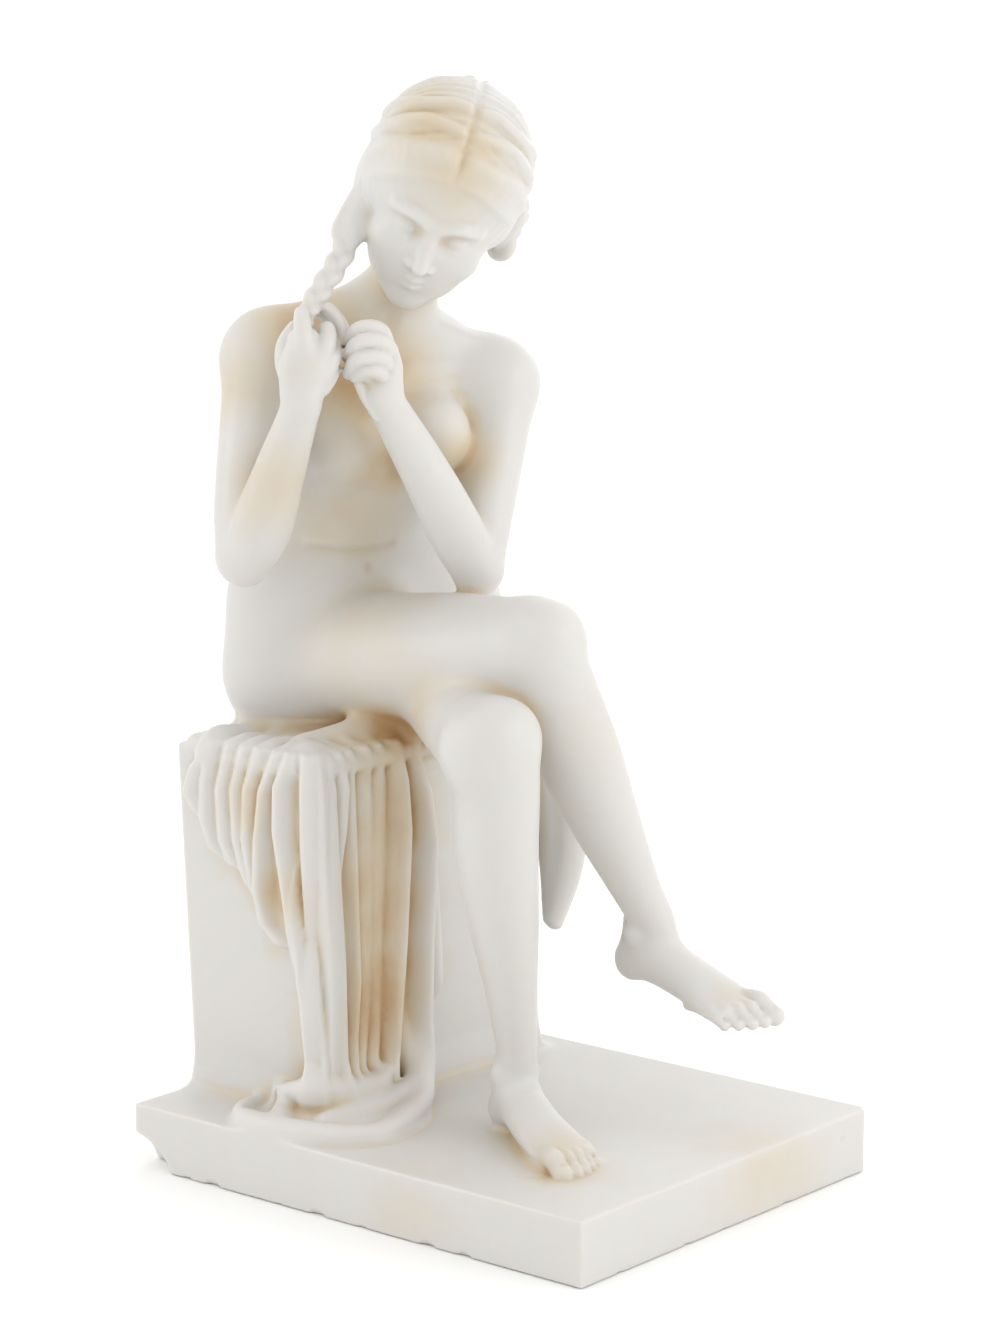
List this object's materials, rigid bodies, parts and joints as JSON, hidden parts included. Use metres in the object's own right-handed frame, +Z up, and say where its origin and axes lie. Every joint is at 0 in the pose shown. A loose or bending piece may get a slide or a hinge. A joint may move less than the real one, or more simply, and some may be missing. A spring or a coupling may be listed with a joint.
{
  "type": "classical marble statue",
  "caption": "Marble statue of a nude figure seated cross-legged on a draped block, head bowed, plaiting the hair over one shoulder, carved with its plinth.",
  "frame": {"origin": "middle of the plinth's underside", "axes": "+Z up, the figure faces -Y with its left hand side toward +X, the seat block stands at the +Y end of the plinth"},
  "size_m": [0.32, 0.4, 0.7539],
  "materials": {
    "white_marble": "satin polished white statuary marble, warm cream in the hollows"
  },
  "bodies": {
    "root": {"statue": "white_marble"}
  },
  "joints": []
}
